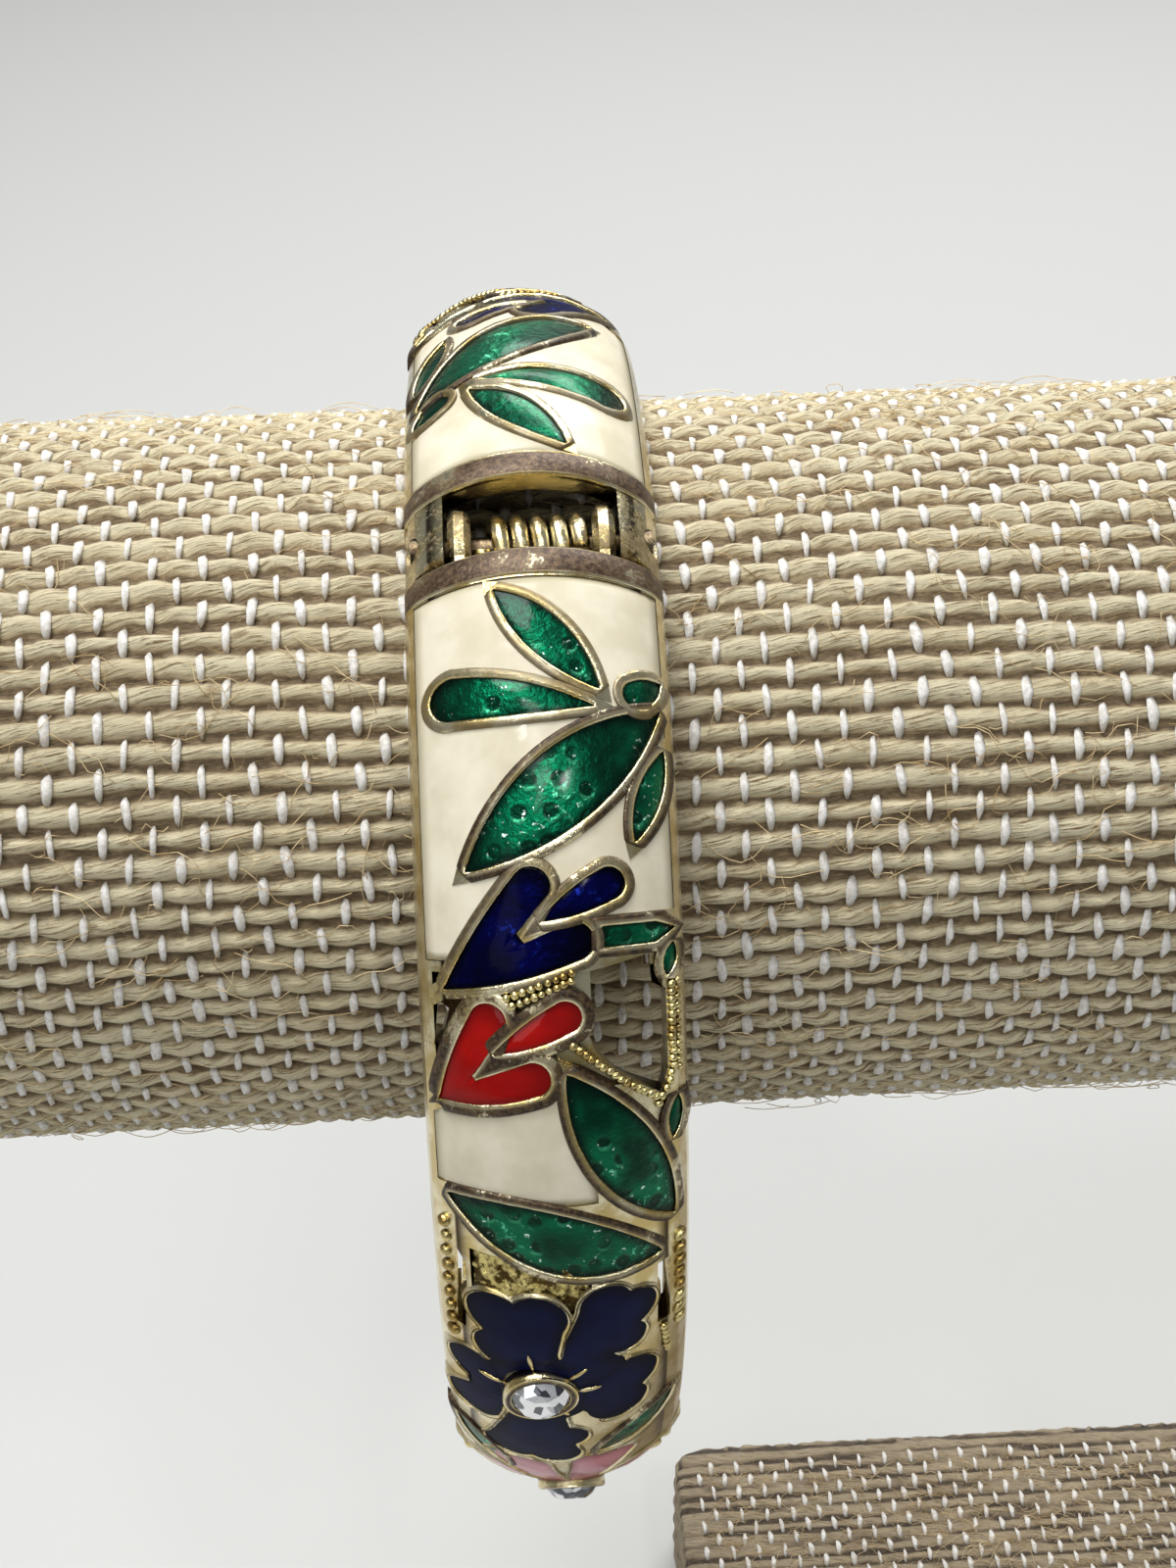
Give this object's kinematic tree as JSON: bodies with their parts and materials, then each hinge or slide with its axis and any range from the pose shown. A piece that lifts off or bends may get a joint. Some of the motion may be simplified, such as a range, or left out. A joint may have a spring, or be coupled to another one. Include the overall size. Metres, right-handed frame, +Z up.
{
  "type": "enamel bangle on a bar display stand",
  "caption": "Hinged enamel bangle with floral cells, pierced places and clear stones, sprung shut and hung on the burlap bar of a plain display stand.",
  "frame": {"origin": "on the table, under the middle of the stand's base", "axes": "+X along the bar, +Z up, and the picture is taken from the -Y side"},
  "size_m": [0.2, 0.068, 0.1415],
  "materials": {
    "gilt_metal": "pale antiqued gilt casting, tarnished brown on its flats",
    "spring_wire": "drawn gilt wire",
    "cream_enamel": "glossy ivory enamel",
    "green_enamel": "glossy see-through emerald enamel over pitted metal",
    "blue_enamel": "glossy see-through dark blue enamel",
    "red_enamel": "glossy solid red enamel",
    "navy_enamel": "glossy solid navy enamel",
    "pink_enamel": "glossy dusky pink enamel",
    "clear_stone": "clear cut glass",
    "burlap": "coarse plain-woven jute with thin white threads across it"
  },
  "bodies": {
    "stand_body": {"upper_half": "gilt_metal", "hinge_pin": "gilt_metal", "torsion_spring": "spring_wire", "upper_cream": "cream_enamel", "upper_green": "green_enamel", "upper_blue": "blue_enamel", "upper_red": "red_enamel", "upper_navy": "navy_enamel", "upper_pink": "pink_enamel", "upper_flower_stone": "clear_stone", "upper_tip_stone": "clear_stone", "display_bar": "burlap", "display_post": "burlap", "display_base": "burlap"},
    "lower_body": {"lower_half": "gilt_metal", "lower_cream": "cream_enamel", "lower_green": "green_enamel", "lower_blue": "blue_enamel", "lower_red": "red_enamel", "lower_navy": "navy_enamel", "lower_pink": "pink_enamel", "lower_flower_stone": "clear_stone", "lower_tip_stone": "clear_stone"}
  },
  "joints": [
    {"name": "hinge", "type": "hinge", "parent": "stand_body", "child": "lower_body", "pos_m": [-0.066, -0.01123, 0.13648], "axis": [-1, 0, 0], "range_deg": [0, 55], "stiffness_Nm_per_rad": 0.05, "springref_deg": -45.84}
  ]
}
